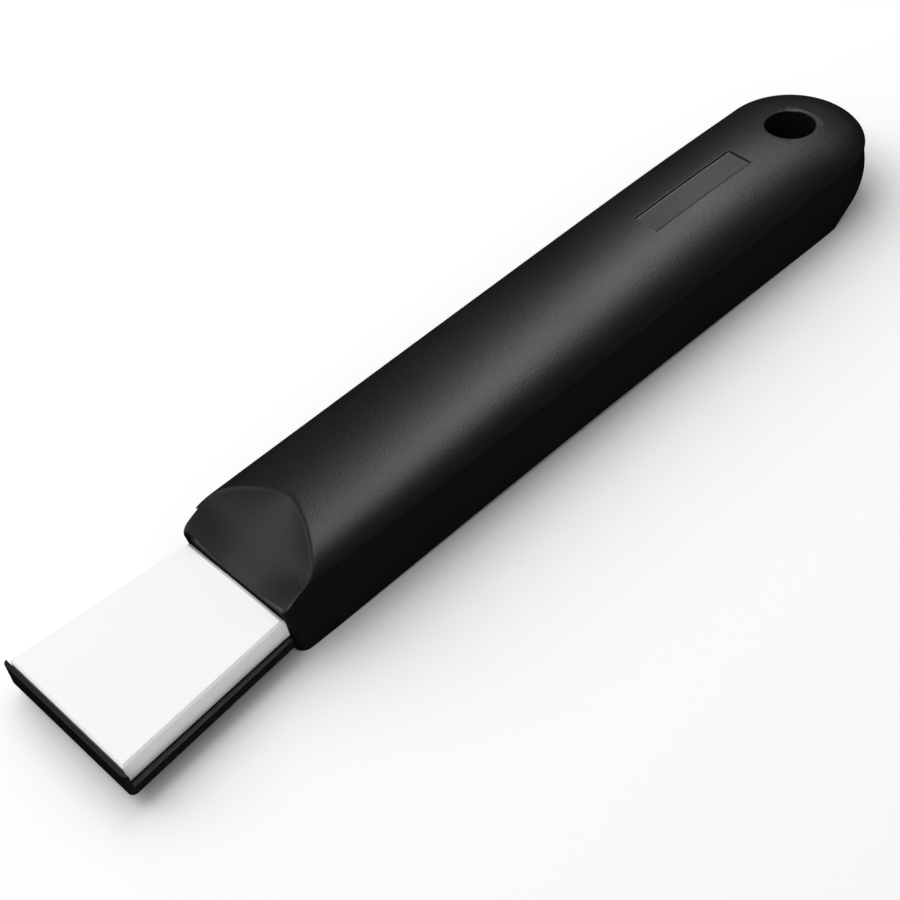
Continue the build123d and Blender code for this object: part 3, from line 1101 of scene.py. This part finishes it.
class SCRAPER_OT_stage(bpy.types.Operator):
    """Sets the pale floor, the soft lights and the camera"""

    bl_idname = "scraper.stage"
    bl_label = "Stage"

    def execute(self, context):
        settings = context.scene.scraper_stage
        scene = context.scene
        scene.view_settings.view_transform = "Standard"
        self.floor(settings)
        self.surround(scene)
        for name, layout, energy in (
            ("strip_softbox", STRIP_LIGHT, settings.key_power),
            ("side_softbox", SIDE_LIGHT, settings.fill_power),
            ("rim_softbox", RIM_LIGHT, settings.rim_power),
        ):
            self.light(name, layout, energy).visible_diffuse = False
        self.light("soft_key", SHADOW_LIGHT, settings.shadow_power).visible_glossy = False
        self.camera(scene, settings)
        return {"FINISHED"}

    def surround(self, scene):
        """An even pale light that the plastic doesn't mirror."""
        world = bpy.data.worlds.new("pale_surround")
        world.use_nodes = True
        background = world.node_tree.nodes["Background"]
        background.inputs["Color"].default_value = (1, 1, 1, 1)
        background.inputs["Strength"].default_value = SURROUND_STRENGTH
        world.cycles_visibility.glossy = False
        scene.world = world

    def floor(self, settings):
        """A plain pale floor."""
        bm = bmesh.new()
        bmesh.ops.create_grid(bm, x_segments=8, y_segments=8, size=FLOOR_REACH)
        mesh = bpy.data.meshes.new("pale_floor")
        bm.to_mesh(mesh)
        bm.free()
        floor = bpy.data.objects.new("pale_floor", mesh)
        bpy.context.scene.collection.objects.link(floor)
        material, _, shader = material_start("floor_paint")
        shader.inputs["Base Color"].default_value = settings.floor
        shader.inputs["Roughness"].default_value = 0.9
        shader.inputs["Specular IOR Level"].default_value = 0.1
        mesh.materials.append(material)
        floor.visible_glossy = False

    def light(self, name, layout, energy):
        """A soft rectangular light that looks at a point; turn spins it about that line."""
        place, aim, width, height, turn = layout
        data = bpy.data.lights.new(name, "AREA")
        data.shape = "RECTANGLE"
        data.size, data.size_y = width, height
        data.energy = energy
        lamp = bpy.data.objects.new(name, data)
        facing = (Vector(aim) - Vector(place)).to_track_quat("-Z", "Y").to_matrix().to_4x4()
        spin = Matrix.Rotation(math.radians(turn), 4, "Z")
        lamp.matrix_world = Matrix.Translation(place) @ facing @ spin
        bpy.context.scene.collection.objects.link(lamp)
        return lamp

    def camera(self, scene, settings):
        """The camera at the photograph's angle."""
        azimuth, elevation, roll = (math.radians(angle) for angle in CAMERA_ANGLES)
        back = Vector((
            math.sin(azimuth) * math.cos(elevation),
            -math.cos(azimuth) * math.cos(elevation),
            math.sin(elevation),
        ))
        right = Vector((math.cos(azimuth), math.sin(azimuth), 0))
        up = back.cross(right)
        right_rolled = right * math.cos(roll) + up * math.sin(roll)
        up_rolled = up * math.cos(roll) - right * math.sin(roll)
        turn = Matrix((right_rolled, up_rolled, back)).transposed().to_4x4()
        data = bpy.data.cameras.new("camera")
        data.lens = settings.lens
        data.sensor_width = 36.0
        data.clip_start, data.clip_end = 0.01, 20.0
        camera = bpy.data.objects.new("camera", data)
        camera.matrix_world = Matrix.Translation(CAMERA_PLACE) @ turn
        scene.collection.objects.link(camera)
        scene.camera = camera


class SCRAPER_PT_panel(bpy.types.Panel):
    """Lists the scraper's pieces and their sizes"""

    bl_idname = "SCRAPER_PT_panel"
    bl_label = "Hob Scraper"
    bl_space_type = "VIEW_3D"
    bl_region_type = "UI"
    bl_category = "Scraper"

    def draw(self, context):
        for name in SETTINGS:
            group = getattr(context.scene, name)
            box = self.layout.box()
            for label in group.bl_rna.properties.keys():
                if label not in ("rna_type", "name"):
                    box.prop(group, label)
        for operator in OPERATORS:
            self.layout.operator(operator.bl_idname)


SETTINGS = {
    "scraper_handle": ScraperHandleSettings,
    "scraper_tray": ScraperTraySettings,
    "scraper_block": ScraperBlockSettings,
    "scraper_stage": ScraperStageSettings,
}
OPERATORS = (
    SCRAPER_OT_finishes,
    SCRAPER_OT_handle_top,
    SCRAPER_OT_handle_bottom,
    SCRAPER_OT_tray,
    SCRAPER_OT_block,
    SCRAPER_OT_inner_parts,
    SCRAPER_OT_stage,
)
CLASSES = (*SETTINGS.values(), *OPERATORS, SCRAPER_PT_panel)


def register():
    """Adds the classes and the settings."""
    for item in CLASSES:
        bpy.utils.register_class(item)
    for name, group in SETTINGS.items():
        setattr(bpy.types.Scene, name, bpy.props.PointerProperty(type=group))


def unregister():
    """Takes the settings and the classes away."""
    for name in SETTINGS:
        delattr(bpy.types.Scene, name)
    for item in reversed(CLASSES):
        bpy.utils.unregister_class(item)


def main():
    """Builds everything."""
    register()
    bpy.ops.scraper.finishes()
    bpy.ops.scraper.handle_top()
    bpy.ops.scraper.handle_bottom()
    bpy.ops.scraper.tray()
    bpy.ops.scraper.block()
    bpy.ops.scraper.inner_parts()
    bpy.ops.scraper.stage()


if __name__ == "__main__":
    main()
